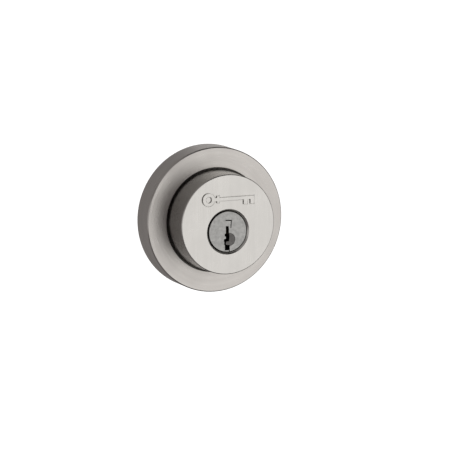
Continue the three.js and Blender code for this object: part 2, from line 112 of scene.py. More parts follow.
def fillet(points, radii, closed=True, steps=5):
    """A polygon with some corners rounded. radii maps a corner's index to its radius."""
    count = len(points)
    out = []
    for i, corner in enumerate(points):
        r = radii.get(i, 0) if isinstance(radii, dict) else radii
        at_end = not closed and i in (0, count - 1)
        if not r or at_end:
            out.append(tuple(corner))
            continue
        here = Vector(corner)
        before = Vector(points[i - 1]) - here
        after = Vector(points[(i + 1) % count]) - here
        half = before.angle(after) / 2
        reach = min(r / math.tan(half), before.length * NEARLY_HALF, after.length * NEARLY_HALF)
        start = here + before.normalized() * reach
        end = here + after.normalized() * reach
        for k in range(steps + 1):
            t = k / steps
            a = start.lerp(here, t)
            b = here.lerp(end, t)
            out.append(tuple(a.lerp(b, t)))
    return out


def finish_mesh(name, mesh_data):
    obj = bpy.data.objects.new(name, mesh_data)
    SCENE.collection.objects.link(obj)
    return obj


def from_bmesh(name, bm):
    bmesh.ops.remove_doubles(bm, verts=bm.verts, dist=SAME_PLACE)
    bmesh.ops.recalc_face_normals(bm, faces=bm.faces)
    mesh_data = bpy.data.meshes.new(name)
    bm.to_mesh(mesh_data)
    bm.free()
    return finish_mesh(name, mesh_data)


def turned(name, profile, segments=160, z=0.0, x=0.0):
    """A solid of revolution about an axis along Y. The profile is a closed list of (radius, depth)."""
    bm = bmesh.new()
    rings = []
    for radius, depth in profile:
        if radius == 0:
            rings.append([bm.verts.new((x * MM, -depth * MM, z * MM))])
            continue
        ring = []
        for s in range(segments):
            a = 2 * math.pi * s / segments
            at = ((x + radius * math.cos(a)) * MM, -depth * MM, (z + radius * math.sin(a)) * MM)
            ring.append(bm.verts.new(at))
        rings.append(ring)
    for one, two in zip(rings, rings[1:] + rings[:1]):
        if len(one) == 1 and len(two) == 1:
            continue
        for s in range(segments):
            t = (s + 1) % segments
            corners = [one[s % len(one)], one[t % len(one)], two[t % len(two)], two[s % len(two)]]
            bm.faces.new(list(dict.fromkeys(corners)))
    return from_bmesh(name, bm)


def rod(name, radius, back, front, x=0.0, z=0.0, edge=0.0, segments=96):
    corners = [(0, front), (radius, front), (radius, back), (0, back)]
    return turned(name, fillet(corners, {1: edge, 2: edge}, closed=False), segments, z, x)


def tube(name, outer, inner, back, front, x=0.0, z=0.0, edge=0.0, segments=128):
    corners = [(outer, front), (outer, back), (inner, back), (inner, front)]
    return turned(name, fillet(corners, edge), segments, z, x)


def slab(name, points, back, front, holes=(), z=0.0, edge=0.0):
    """An outline of (x, z) points, with any holes, thickened between two depths and raised by z.

    edge rounds the rims of both its faces.
    """
    curve = bpy.data.curves.new(name, "CURVE")
    curve.dimensions = "2D"
    curve.fill_mode = "BOTH"
    curve.extrude = ((front - back) / 2 - edge) * MM
    curve.bevel_depth = edge * MM
    curve.bevel_resolution = 2
    curve.offset = -edge * MM
    for loop in (points, *holes):
        spline = curve.splines.new("POLY")
        spline.points.add(len(loop) - 1)
        for point, (px, pz) in zip(spline.points, loop):
            point.co = (px * MM, pz * MM, 0, 1)
        spline.use_cyclic_u = True
    holder = finish_mesh(name + "_outline", curve)
    bpy.context.view_layer.update()
    mesh_data = bpy.data.meshes.new_from_object(holder)
    bpy.data.objects.remove(holder)
    turn = Matrix.Rotation(math.pi / 2, 4, "X")
    mesh_data.transform(Matrix.Translation((0, -(front + back) / 2 * MM, z * MM)) @ turn)
    bm = bmesh.new()
    bm.from_mesh(mesh_data)
    bpy.data.meshes.remove(mesh_data)
    return from_bmesh(name, bm)


def block(name, x_range, z_range, depth_range):
    (x0, x1), (z0, z1) = x_range, z_range
    return slab(name, [(x0, z0), (x1, z0), (x1, z1), (x0, z1)], *depth_range)


def arc(cx, cz, radius, start, end, steps=48):
    """Points on an arc, angles in degrees, anticlockwise from +X as seen from the front."""
    angles = [math.radians(start + (end - start) * k / steps) for k in range(steps + 1)]
    return [(cx + radius * math.cos(a), cz + radius * math.sin(a)) for a in angles]


def circle(cx, cz, radius, steps=64):
    return arc(cx, cz, radius, 0, 360 * (1 - 1 / steps), steps - 1)


def combine(obj, others, operation):
    """Joins or cuts obj with the others, which are used up."""
    for other in others:
        modifier = obj.modifiers.new("combine", "BOOLEAN")
        modifier.operation = operation
        modifier.solver = "EXACT"
        modifier.object = other
        bpy.context.view_layer.update()
        depsgraph = bpy.context.evaluated_depsgraph_get()
        result = bpy.data.meshes.new_from_object(obj.evaluated_get(depsgraph))
        obj.modifiers.clear()
        old = obj.data
        obj.data = result
        bpy.data.meshes.remove(old)
        bpy.data.objects.remove(other)
    return obj


def join(obj, *others):
    return combine(obj, others, "UNION")


def cut(obj, *others):
    return combine(obj, others, "DIFFERENCE")


def soften(obj, width):
    """A small bevel on the sharp edges, such as a tumbled or cast piece has."""
    modifier = obj.modifiers.new("edges", "BEVEL")
    modifier.width = width * MM
    modifier.segments = 2
    modifier.limit_method = "ANGLE"
    modifier.angle_limit = math.radians(40)
    modifier.use_clamp_overlap = True
    modifier.miter_outer = "MITER_ARC"
    return obj


def dress(obj, material, body, slot, *nodes):
    """Shades a finished piece, gives it its material and ties it to the frame."""
    obj.data.shade_smooth()
    obj.data.set_sharp_from_angle(angle=math.radians(SHARP_ANGLE))
    weighted = obj.modifiers.new("normals", "WEIGHTED_NORMAL")
    weighted.keep_sharp = True
    weighted.weight = 80
    obj.data.materials.clear()
    obj.data.materials.append(material)
    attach(obj, body)
    if nodes:
        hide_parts(*nodes)
    return obj


def along_z(obj, depth):
    """Turns a piece made about the plug's axis so that it stands upright at a depth, its front end up."""
    obj.data.transform(Matrix.Translation((0, -depth * MM, 0)) @ Matrix.Rotation(-math.pi / 2, 4, "X"))
    return obj


def round_axis(obj, degrees, z=0.0):
    """Turns a piece anticlockwise about the plug's axis, as seen from the front, and raises it by z."""
    turn = Matrix.Rotation(-math.radians(degrees), 4, "Y")
    obj.data.transform(Matrix.Translation((0, 0, z * MM)) @ turn)
    return obj


def coil(name, start, end, radius, wire, turns, dead=0.8):
    """A coil spring between two (x, depth, z) points, with dead turns closed up at each end."""
    start, end = Vector(start), Vector(end)
    length = (end - start).length
    along = (end - start).normalized()
    side = along.orthogonal().normalized()
    other = along.cross(side)
    curve = bpy.data.curves.new(name, "CURVE")
    curve.dimensions = "3D"
    curve.bevel_depth = wire * MM
    curve.bevel_resolution = 3
    curve.use_fill_caps = True
    spline = curve.splines.new("POLY")
    steps = int((turns + 2 * dead) * TURN_STEPS)
    spline.points.add(steps)
    run = length - 2 * wire * (1 + 2 * dead)
    for k in range(steps + 1):
        turn = (turns + 2 * dead) * k / steps
        live = min(max(turn - dead, 0), turns) / turns
        closed = min(turn, dead) + max(turn - dead - turns, 0)
        rise = wire + live * run + closed * 2 * wire
        a = 2 * math.pi * turn
        at = start + along * rise + radius * (side * math.cos(a) + other * math.sin(a))
        spline.points[k].co = (at.x * MM, -at.y * MM, at.z * MM, 1)
    holder = finish_mesh(name + "_wire", curve)
    bpy.context.view_layer.update()
    mesh_data = bpy.data.meshes.new_from_object(holder)
    bpy.data.objects.remove(holder)
    return finish_mesh(name, mesh_data)


# ---------------------------------------------------------------- materials


class Nodes:
    """A small builder for one material's node tree."""

    def __init__(self, name):
        self.material = bpy.data.materials.new(name)
        self.material.use_nodes = True
        self.tree = self.material.node_tree
        self.shader = self.tree.nodes["Principled BSDF"]
        self.coords = self.add("ShaderNodeTexCoord")

    def add(self, kind, **settings):
        node = self.tree.nodes.new(kind)
        for key, value in settings.items():
            setattr(node, key, value)
        return node

    def link(self, source, target):
        self.tree.links.new(source, target)

    def feed(self, node, values):
        """Puts numbers and other nodes' outputs into a node's first sockets, and returns its own output."""
        for socket, value in zip(node.inputs, values):
            if isinstance(value, (int, float)):
                socket.default_value = value
            else:
                self.link(value, socket)
        return node.outputs[0]

    def math(self, operation, *values):
        return self.feed(self.add("ShaderNodeMath", operation=operation), values)

    def vector(self, x, y, z):
        return self.feed(self.add("ShaderNodeCombineXYZ"), (x, y, z))

    def noise(self, vector, scale, detail, roughness):
        node = self.add("ShaderNodeTexNoise")
        node.inputs["Scale"].default_value = scale
        node.inputs["Detail"].default_value = detail
        node.inputs["Roughness"].default_value = roughness
        self.link(vector, node.inputs["Vector"])
        return node.outputs["Fac"]

    def spread(self, value, low, high, from_low, from_high):
        """value, moved from one range to another and held within it."""
        node = self.add("ShaderNodeMapRange")
        self.link(value, node.inputs["Value"])
        node.inputs["From Min"].default_value = from_low
        node.inputs["From Max"].default_value = from_high
        node.inputs["To Min"].default_value = low
        node.inputs["To Max"].default_value = high
        return node.outputs["Result"]

    def blend(self, factor, a, b):
        node = self.add("ShaderNodeMix", data_type="RGBA")
        self.link(factor, node.inputs["Factor"])
        for index, value in ((6, a), (7, b)):
            if isinstance(value, tuple):
                node.inputs[index].default_value = (*value, 1)
            else:
                self.link(value, node.inputs[index])
        return node.outputs[2]

    def place(self):
        """The x, y and z of a point on the piece, in metres."""
        node = self.add("ShaderNodeSeparateXYZ")
        self.link(self.coords.outputs["Object"], node.inputs[0])
        return node.outputs

    def hypotenuse(self, a, b):
        squares = self.math("ADD", self.math("MULTIPLY", a, a), self.math("MULTIPLY", b, b))
        return self.math("SQRT", squares)

    def unshaded_mask(self, full_shade_depth, no_shade_depth, within):
        """A mask for painted shade: 0 behind the first depth and 1 before the second, or 1 anywhere further
        than within from the axis.
        """
        x, y, z = self.place()
        outside = self.math("GREATER_THAN", self.hypotenuse(x, z), within * MM)
        raised = self.spread(self.math("MULTIPLY", y, -1 / MM), 0, 1, full_shade_depth, no_shade_depth)
        return self.math("MAXIMUM", outside, raised)

    def bump(self, height, distance):
        node = self.add("ShaderNodeBump")
        node.inputs["Strength"].default_value = 1.0
        node.inputs["Distance"].default_value = distance
        self.link(height, node.inputs["Height"])
        return node.outputs["Normal"]


PAINTED_SHADE_COLOR = (0.16, 0.148, 0.14)  # painted shade: a dark colour that stands in for the shadow in a recess
MID_NOISE = (0.3, 0.7)  # the range that holds nearly all of a noise's values


def tones(color, tone):
    """The darker and lighter colours that a metal varies between."""
    return tuple(c * (1 - tone) for c in color), tuple(min(1.0, c * (1 + tone)) for c in color)


def brushed(name, color, roughness, straight=None, axis_z=0.0, anisotropy=0.0, tone=0.05, grain=2600,
            painted_shade_below=None):
    """A plated or bare metal with fine brush lines, which run along one axis or in circles about axis_z.

    straight names the axis, or is left out for circles. grain is how fine the lines are, to a metre, and tone
    how far they lighten and darken the metal. The last argument holds the depths and radius for the
    painted-shade
    mask: behind those depths the colour turns to painted shade, a dark colour standing in for the shadow in a
    recess.
    """
    stretch = 56.0  # how fine a straight line's changes are along it, to a metre
    turn_stretch = 1.6  # and a circle's, to a radian
    line_depth = 0.000004
    streak_play, patch_play = 0.05, 0.03  # how far the roughness strays either way
    n = Nodes(name)
    x, y, z = n.place()
    deep = n.math("MULTIPLY", y, grain)
    if straight == "Z":
        lines = n.vector(n.math("MULTIPLY", x, grain), deep, n.math("MULTIPLY", z, stretch))
        tangent = (1.0, 0.0, 0.0)
    elif straight == "X":
        lines = n.vector(n.math("MULTIPLY", x, stretch), deep, n.math("MULTIPLY", z, grain))
        tangent = (0.0, 0.0, 1.0)
    else:
        up = n.math("SUBTRACT", z, axis_z * MM)
        radius = n.math("MULTIPLY", n.hypotenuse(x, up), grain)
        turn = n.math("MULTIPLY", n.math("ARCTAN2", up, x), turn_stretch)
        lines = n.vector(radius, deep, turn)
        tangent = (x, 0.0, up)
    fine = n.noise(lines, scale=1.0, detail=5.0, roughness=0.62)
    broad = n.noise(lines, scale=0.17, detail=2.0, roughness=0.5)
    cloud = n.noise(n.coords.outputs["Object"], scale=90.0, detail=3.0, roughness=0.55)
    streaks = n.spread(fine, 0.5, 1, *MID_NOISE)
    bands = n.spread(broad, 0.3, 1, *MID_NOISE)
    toned = n.blend(n.math("MULTIPLY", streaks, bands), *tones(color, tone))
    # Painted shade: behind the given depths the colour turns dark, standing in for the shadow in the recess.
    if painted_shade_below:
        toned = n.blend(n.unshaded_mask(*painted_shade_below), PAINTED_SHADE_COLOR, toned)
    n.link(toned, n.shader.inputs["Base Color"])
    patches = n.spread(cloud, roughness - patch_play, roughness + patch_play, *MID_NOISE)
    rough = n.math("ADD", n.spread(fine, -streak_play, streak_play, *MID_NOISE), patches)
    n.link(rough, n.shader.inputs["Roughness"])
    n.shader.inputs["Metallic"].default_value = 1.0
    n.link(n.bump(fine, line_depth), n.shader.inputs["Normal"])
    if anisotropy:
        n.shader.inputs["Anisotropic"].default_value = anisotropy
        n.link(n.vector(*tangent), n.shader.inputs["Tangent"])
    return n.material


def cast(name, color, roughness, grain=1800, metallic=1.0, tone=0.08, cloud_size=120.0, painted_shade_below=None):
    """A fine cast, tumbled or moulded skin with a little uneven tone. grain and cloud_size are to a metre."""
    pit_depth = 0.00002
    pit_play, patch_play = 0.06, 0.04  # how far the roughness strays either way
    n = Nodes(name)
    place = n.coords.outputs["Object"]
    pitted = n.noise(place, scale=grain, detail=4.0, roughness=0.6)
    cloud = n.noise(place, scale=cloud_size, detail=3.0, roughness=0.55)
    toned = n.blend(n.spread(cloud, 0, 1, 0.35, 0.65), *tones(color, tone))
    # Painted shade: behind the given depths the colour turns dark, standing in for the shadow in the recess.
    if painted_shade_below:
        toned = n.blend(n.unshaded_mask(*painted_shade_below), PAINTED_SHADE_COLOR, toned)
    n.link(toned, n.shader.inputs["Base Color"])
    patches = n.spread(cloud, roughness - patch_play, roughness + patch_play, *MID_NOISE)
    rough = n.math("ADD", n.spread(pitted, -pit_play, pit_play, *MID_NOISE), patches)
    n.link(rough, n.shader.inputs["Roughness"])
    n.shader.inputs["Metallic"].default_value = metallic
    n.link(n.bump(pitted, pit_depth), n.shader.inputs["Normal"])
    return n.material


ROSE_METAL = brushed("rose_brushed_nickel", (0.575, 0.56, 0.54), 0.31, axis_z=TRIM_Z, anisotropy=0.7,
                     tone=0.07)
# Painted shade: inside the plug's mouth, behind its front lip, the collar's colour turns dark, standing in
# for the shadow there.
COLLAR_METAL = brushed("collar_brushed_nickel", (0.65, 0.645, 0.625), 0.30, straight="Z", anisotropy=0.4,
                       tone=0.035, painted_shade_below=(COLLAR_FRONT - 1.1, COLLAR_FRONT - 0.5, MOUTH_RADIUS + 0.7))
# Painted shade: a little behind its face the plug's colour turns dark, on the head's side wall, standing in
# for the shadow in the ring round it.
PLUG_METAL = cast("plug_matt_nickel", (0.41, 0.415, 0.407), 0.40, grain=1500, tone=0.16, cloud_size=700.0,
                  painted_shade_below=(PLUG_HIGH.y - 0.45, PLUG_HIGH.y - 0.3, HEAD_R + 0.9))
CYLINDER_METAL = cast("cylinder_casting", (0.05, 0.047, 0.045), 0.5)
ZINC = cast("zinc_casting", (0.56, 0.56, 0.55), 0.5, grain=1200)
# Painted shade: the mounting plate's zinc is given a near-black colour so that the gap round the collar's
# foot reads as shadow.
SHADE_DARKENED_ZINC = cast("zinc_casting_painted_shade", (0.11, 0.105, 0.10), 0.5, grain=1200)
PLATED = brushed("zinc_plated_steel", (0.62, 0.62, 0.61), 0.34, straight="X", grain=1500)
TURNED_STEEL = brushed("turned_steel", (0.66, 0.66, 0.65), 0.3, grain=2000)
SPRING = cast("drawn_spring_wire", (0.72, 0.72, 0.70), 0.28, grain=900)
HARD = cast("hardened_steel", (0.15, 0.147, 0.143), 0.45, tone=0.2, cloud_size=900.0)
BRASS = brushed("turned_brass", (0.72, 0.60, 0.35), 0.32, straight="X", grain=2000)
PLASTIC = cast("black_moulding", (0.035, 0.035, 0.035), 0.55, metallic=0.0, grain=1500)


# ---------------------------------------------------------------- rose, collar and mounting


def make_rose():
    """A shallow cup, open at the back, with a round hole in its face and three nibs inside its rim."""
    wall, hole, rim, edge = 2.0, 23.8, 30.8, 0.4
    nib_in, nib_root, nib_half, nib_depths = 29.5, 0.4, 2.5, (6.2, 6.9)
    nibs = 3
    profile = fillet([
        (ROSE_R - edge, ROSE_FRONT),
        (ROSE_R, ROSE_FRONT - edge),
        (ROSE_R, 0),
        (rim, 0),
        (rim, ROSE_FRONT - wall),
        (hole, ROSE_FRONT - wall),
        (hole, ROSE_FRONT),
    ], {0: 0.08, 1: 0.08, 2: 0.2, 3: 0.2, 4: 0.6, 5: 0.15, 6: 0.18})
    rose = turned("rose_cup", profile, 256, TRIM_Z)
    for k in range(nibs):
        nib = block(f"nib_{k}", (nib_in, rim + nib_root), (-nib_half, nib_half), nib_depths)
        join(rose, round_axis(nib, 90 + k * 360 / nibs, TRIM_Z))
    return dress(rose, ROSE_METAL, "trim", "satin_nickel", "rose")


def key_outline(grow):
    """A key, each edge moved outwards by grow: a bow, a shank with a shoulder, and two bits."""
    end, bow, bow_eye, shank, shoulder = 12.6, 3.0, 1.4, 0.8, 1.6
    shoulder_from, shoulder_to = 6.9, 8.2
    bit_insets, bit_width, bit_drop = (5.2, 1.9), 1.9, 2.9
    bow_x = bow - end
    half = shank + grow
    top = shoulder + grow
    meet = math.degrees(math.asin(half / (bow + grow)))
    left = shoulder_from - end - grow
    right = shoulder_to - end + grow
    outline = arc(bow_x, 0, bow + grow, meet, 360 - meet, 40)
    outline += [(left, -half), (left, -top), (right, -top), (right, -half)]
    for inset in bit_insets:
        bit_left = end - inset - grow
        bit_right = end - inset + bit_width + grow
        outline += [(bit_left, -half), (bit_left, -bit_drop - grow), (bit_right, -bit_drop - grow)]
        if inset > bit_width:
            outline.append((bit_right, -half))
    outline += [(end + grow, half), (right, half), (right, top), (left, top), (left, half)]
    return outline, circle(bow_x, 0, bow_eye - grow, 32)


def key_emblem(back, front, grow=0.0, edge=0.0):
    """The key standing on the collar's face, with its front edges rounded by edge."""
    outline, eye = key_outline(grow)
    return slab("emblem", outline, back, front, [eye], TRIM_Z + 11.7, edge)


def make_collar():
    """A drum that narrows a little towards its face, with a sleeve and two bosses behind the plug's mouth."""
    wall, face, back, edge, sleeve_bore = 2.4, 2.5, 10.0, 0.3, 11.75
    throat, mouth_depth = 9.45, 0.9
    draft = 0.35
    front = COLLAR_FRONT
    root = front - face / 2
    rim = COLLAR_R - draft
    profile = fillet([
        (0, front),
        (rim - edge, front),
        (rim, front - edge),
        (COLLAR_R, back),
        (rim - wall, back),
        (rim - wall, front - face),
        (0, front - face),
    ], {1: 0.08, 2: 0.08, 3: 0.2, 4: 0.2, 5: 0.8}, closed=False)
    collar = turned("collar_drum", profile, 224, TRIM_Z)
    taper = (MOUTH_RADIUS - throat) / mouth_depth
    mouth = [
        (0, front + PAST),
        (MOUTH_RADIUS + taper * PAST, front + PAST),
        (throat, front - mouth_depth),
        (throat, front - face),
        (sleeve_bore, front - face),
        (sleeve_bore, SLEEVE_BACK - PAST),
        (0, SLEEVE_BACK - PAST),
    ]
    join(collar, tube("sleeve", outer=13.0, inner=11.0, back=SLEEVE_BACK, front=root))
    for z in (BOSS_Z, -BOSS_Z):
        join(collar, rod("boss", radius=2.05, back=SLEEVE_BACK, front=root, z=z, segments=48))
        cut(collar, rod("boss_hole", radius=1.15, back=SLEEVE_BACK - PAST, front=2, z=z, segments=32))
    cut(collar, turned("mouth", mouth, 160))
    # The key stands in a shallow groove of its own outline.
    cut(collar, key_emblem(back=front - 0.22, front=front + EMBLEM_RISE, grow=0.28))
    join(collar, key_emblem(back=front - 0.4, front=front + EMBLEM_RISE, edge=0.12))
    return dress(collar, COLLAR_METAL, "trim", "satin_nickel", "collar")


def make_mounting_plate():
    """A flange that stands on the door by its skirt, with the hub and the two threaded posts."""
    front, back, skirt_out, skirt_in = 9.7, 7.2, 29.2, 27.2
    hub, hub_front, well = 18.7, 9.2, 16.5
    post, post_back, thread, thread_front = 2.7, -10, 1.73, 4
    radius = radius_of("mounting_plate")
    profile = fillet([
        (0, front),
        (radius, front),
        (radius, back),
        (skirt_out, back),
        (skirt_out, 0),
        (skirt_in, 0),
        (skirt_in, back),
        (0, back),
    ], {1: 0.3, 2: 0.3, 3: 0.3, 4: 0.2, 5: 0.2, 6: 0.6}, closed=False)
    plate = turned("mounting_flange", profile, 192, TRIM_Z)
    cut(plate, rod("well", well, back - PAST, front + PAST, segments=128))
    join(plate, tube("hub", hub, well, SLEEVE_BACK, hub_front, edge=0.2))
    for x in (-POST_X, POST_X):
        join(plate, rod("post", post, post_back, front, x=x, edge=0.3, segments=48))
        cut(plate, rod("tapping", thread, post_back - PAST, thread_front, x=x, segments=40))
    # The plate's dark colour is painted shade for the gap round the collar.
    return dress(plate, SHADE_DARKENED_ZINC, "trim", "zinc_casting", "mounting_plate")


def make_adapter_ring():
    """A plastic ring between the hub and the door's bore, stiffened by ribs."""
    outer, inner, front, back, wall, web_back = 26.7, 18.95, -0.3, -6, 1.5, -2.3
    ribs, rib_in, rib_root, rib_half, rib_depths = 12, 20.2, 0.2, 0.5, (-5.4, -2.0)
    profile = fillet([
        (outer, front),
        (outer, back),
        (outer - wall, back),
        (outer - wall, web_back),
        (inner, web_back),
        (inner, front),
    ], 0.25)
    ring = turned("adapter_ring_moulding", profile, 160)
    for k in range(ribs):
        rib = block(f"rib_{k}", (rib_in, outer - wall + rib_root), (-rib_half, rib_half), rib_depths)
        join(ring, round_axis(rib, (k + 0.5) * 360 / ribs))
    return dress(ring, PLASTIC, "trim", "black_plastic", "adapter_ring")


def make_cylinder_body():
    """The fixed sleeve that the plug turns in, with the sidebar's groove down its right side."""
    outer, bore = 11.6, 8.7
    inside, floor, mouth_half, floor_half = 8.2, 9.6, 1.3, 0.5
    body = tube("cylinder_shell", outer, bore, SLEEVE_BACK, CYLINDER_FRONT, edge=0.15, segments=160)
    groove = [(inside, -mouth_half), (floor, -floor_half), (floor, floor_half), (inside, mouth_half)]
    cut(body, slab("groove", groove, back=3, front=22.4))
    return dress(body, CYLINDER_METAL, "trim", "zinc_casting", "cylinder_body")


def make_keeper():
    """A flat ring, notched for the posts and drilled for its two screws."""
    low, high = span("cylinder_keeper")
    outer, inner, notch, hole = 18.0, 10.3, 3.05, 1.3
    through = (low.y - PAST, high.y + PAST)
    plate = slab("keeper_plate", circle(0, 0, outer, 128), low.y, high.y, [circle(0, 0, inner, 96)])
    for x in (-POST_X, POST_X):
        cut(plate, rod("notch", notch, *through, x=x, segments=48))
    for z in (-BOSS_Z, BOSS_Z):
        cut(plate, rod("hole", hole, *through, z=z, segments=32))
    return dress(soften(plate, 0.12), PLATED, "trim", "plated_steel", "cylinder_keeper")


def make_screw(node, body, shank, rise, slot_width, cross):
    """A cheese-head screw in place of a CAD one: shank is its radius, rise its head's height."""
    low, high = span(node)
    x, z = (low.x + high.x) / 2, (low.z + high.z) / 2
    head = radius_of(node)
    under = low.y + rise
    pitch, root, point, point_length, plain = 0.5, shank * 0.8, shank * 0.55, 0.3, 0.4
    profile = [(0, high.y), (point, high.y), (root, high.y - point_length)]
    depth = high.y - pitch
    while depth > under + plain + pitch:
        profile += [(root, depth), (shank, depth - pitch / 2)]
        depth -= pitch
    profile.append((root, depth))
    profile += fillet([(root, under), (head, under), (head, low.y), (0, low.y)], {1: 0.1, 2: rise * 0.45},
                      closed=False)
    screw = turned(node + "_turned", profile, 48, z, x)
    half, reach, cross_reach = slot_width / 2, head * 1.1, head * 0.6
    slot_depths = (low.y - PAST, low.y + rise / 2)
    cut(screw, block("slot", (x - reach, x + reach), (z - half, z + half), slot_depths))
    if cross:
        cut(screw, block("slot", (x - half, x + half), (z - cross_reach, z + cross_reach), slot_depths))
    return dress(screw, TURNED_STEEL, body, "plated_steel", node)


# ---------------------------------------------------------------- plug


def keyway_outline():
    """The keyway and the thin slit that runs on from its foot, down its left side and up its right."""
    bottom, slit_left, slit_right, slit_end = -8.45, 0.55, 1, -10
    left = [(-1, 2.5), (-0.9, 0), (-0.9, -0.7), (-1.45, -0.95), (-1.45, -2), (-0.9, -2.25), (-0.9, -3.1),
            (-1.9, -3.35), (-1.9, -4.4), (-1.7, -4.6), (-1.7, -5.9), (-1.4, -6.15), (-1.4, bottom)]
    slit = [(slit_left, bottom), (slit_left, slit_end), (slit_right, slit_end), (slit_right, bottom)]
    right = [(slit_right, -6.15), (-0.8, -5.9), (-0.8, -4.6), (0.77, -4.4), (0.77, -3.3), (0.88, -3.1),
             (0.88, -0.9), (0.6, -0.7), (0.6, 1.1), (0.45, 2.5)]
    return fillet(left + slit + right, 0.09, steps=2)


def tool_slot_outline():
    """The hooked slot above the keyway: a bar that slopes a little, then a drop at its right end."""
    half = 0.225
    return [(-1.1, 5.2 + half), (1.8 + half, 5 + half), (1.55 + half, 1.6), (1.55 - half, 1.6),
            (1.8 - half, 5 - half), (-1.1, 5.2 - half)]


def insert_outline(radius):
    """A disc cut off straight on its left."""
    x, z, left = 0.7, -3.6, -0.87
    half = math.degrees(math.acos((left - x) / radius))
    return arc(x, z, radius, -half, half, 36)


def make_plug():
    """The barrel and its head, with every slot, bore, pocket and hole that the plug's other pieces need."""
    front, back = PLUG_HIGH.y, PLUG_LOW.y
    ahead, behind = front + PAST, back - PAST
    head_back = CYLINDER_FRONT + 0.3
    groove, groove_front, groove_back = 7.9, -6.2, -7.2
    outside = 10  # past the barrel's skin
    insert_play = 0.1
    insert_back = span("anti_drill_insert")[0].y - insert_play
    profile = fillet([
        (0, front),
        (HEAD_R, front),
        (HEAD_R, head_back),
        (PLUG_R, head_back),
        (PLUG_R, groove_front),
        (groove, groove_front),
        (groove, groove_back),
        (PLUG_R, groove_back),
        (PLUG_R, back),
        (0, back),
    ], {1: 0.16, 2: 0.1, 8: 0.2}, closed=False)
    plug = turned("plug_barrel", profile, 160)
    cut(plug, block("pocket", x_range=(1.9, outside), z_range=(-outside, outside), depth_range=(0, 22.5)))
    cut(plug, slab("keyway", keyway_outline(), back=2, front=ahead))
    cut(plug, slab("tool_slot", tool_slot_outline(), back=22.4, front=ahead))
    cut(plug, slab("insert_pocket", insert_outline(INSERT_RADIUS + insert_play), insert_back, ahead))
    cut(plug, block("cover_slot", x_range=(-1.85, 1.85), z_range=(7.8, outside), depth_range=(2.2, 21.4)))
    for i in range(1, PIN_COUNT + 1):
        bore = rod("bore", radius=1.525, back=-2.9, front=8.5, segments=32)
        cut(plug, along_z(bore, middle_depth(f"pin_{i}")))
    cut(plug, block("lug_window", x_range=(0.95, 2.0), z_range=(0.35, 4.05), depth_range=(1.45, 20.09)))
    cut(plug, rod("recess", radius=5.2, back=behind, front=-4.4))
    for z in (-CAP_SCREW_Z, CAP_SCREW_Z):
        cut(plug, rod("screw_hole", radius=0.85, back=behind, front=-4, z=z, segments=24))
    return dress(plug, PLUG_METAL, "plug", "plug_nickel", "plug_body")


def make_insert():
    low, high = span("anti_drill_insert")
    insert = slab("insert_disc", insert_outline(INSERT_RADIUS), low.y, high.y)
    cut(insert, slab("keyway", keyway_outline(), low.y - PAST, high.y + PAST))
    return dress(soften(insert, 0.08), HARD, "plug", "hard_steel", "anti_drill_insert")


def make_pin(i):
    """A pin with a waist for its rack's lug, three false cuts below it and a pointed tip."""
    node = f"pin_{i}"
    low, high = span(node)
    tip, top, r = low.z, high.z, radius_of(node)
    waist, waist_low, waist_high, point = 0.95, 3, 4.2, 0.7
    cuts, first_cut, cut_pitch, cut_radius, cut_height, cut_edge = 3, 2.7, 0.6, r * 0.86, 0.35, 0.1
    profile = [(0, top), (r, top), (r, tip + waist_high), (waist, tip + waist_high), (waist, tip + waist_low),
               (r, tip + waist_low)]
    for k in range(cuts):
        upper = tip + first_cut - k * cut_pitch
        lower = upper - cut_height
        profile += [(r, upper), (cut_radius, upper - cut_edge), (cut_radius, lower + cut_edge), (r, lower)]
    profile += [(r, tip + point), (r - point, tip), (0, tip)]
    pin = turned(node + "_turned", fillet(profile, {1: 0.2, 2: 0.06, 5: 0.06}, closed=False, steps=3), 48)
    return dress(along_z(pin, middle_depth(node)), BRASS, node, "brass", node)


def make_springs():
    for i in range(1, PIN_COUNT + 1):
        low, high = span(f"pin_spring_{i}")
        depth = (low.y + high.y) / 2
        ends = (0, depth, low.z), (0, depth, high.z)
        spring = coil(f"pin_spring_wire_{i}", *ends, radius=0.95, wire=0.18, turns=4)
        dress(spring, SPRING, "plug", "spring_steel", f"pin_spring_{i}")
        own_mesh(spring)
    for i in (1, 2):
        low, high = span(f"sidebar_spring_{i}")
        depth = (low.y + high.y) / 2
        ends = (low.x, depth, 0), (high.x, depth, 0)
        spring = coil(f"sidebar_spring_wire_{i}", *ends, radius=0.4, wire=0.09, turns=4, dead=0.5)
        dress(spring, SPRING, "carrier", "spring_steel", f"sidebar_spring_{i}")
        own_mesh(spring)
    low, high = span("carrier_spring")
    x, z = (low.x + high.x) / 2, (low.z + high.z) / 2
    ends = (x, low.y, z), (x, high.y, z)
    spring = coil("carrier_spring_wire", *ends, radius=0.64, wire=0.13, turns=9)
    dress(spring, SPRING, "plug", "spring_steel", "carrier_spring")
    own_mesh(spring)


def make_clip():
    """An open ring of spring steel, its gap at the bottom."""
    low, high = span("plug_clip")
    first, last, steps, rounding = -55, 235, 72, 0.5
    outer = arc(0, 0, 9.8, first, last, steps)
    inner = arc(0, 0, 8.0, last, first, steps)
    corners = (0, steps, steps + 1, 2 * steps + 1)
    clip = slab("clip_ring", fillet(outer + inner, {i: rounding for i in corners}), low.y, high.y)
    return dress(soften(clip, 0.1), SPRING, "plug", "spring_steel", "plug_clip")


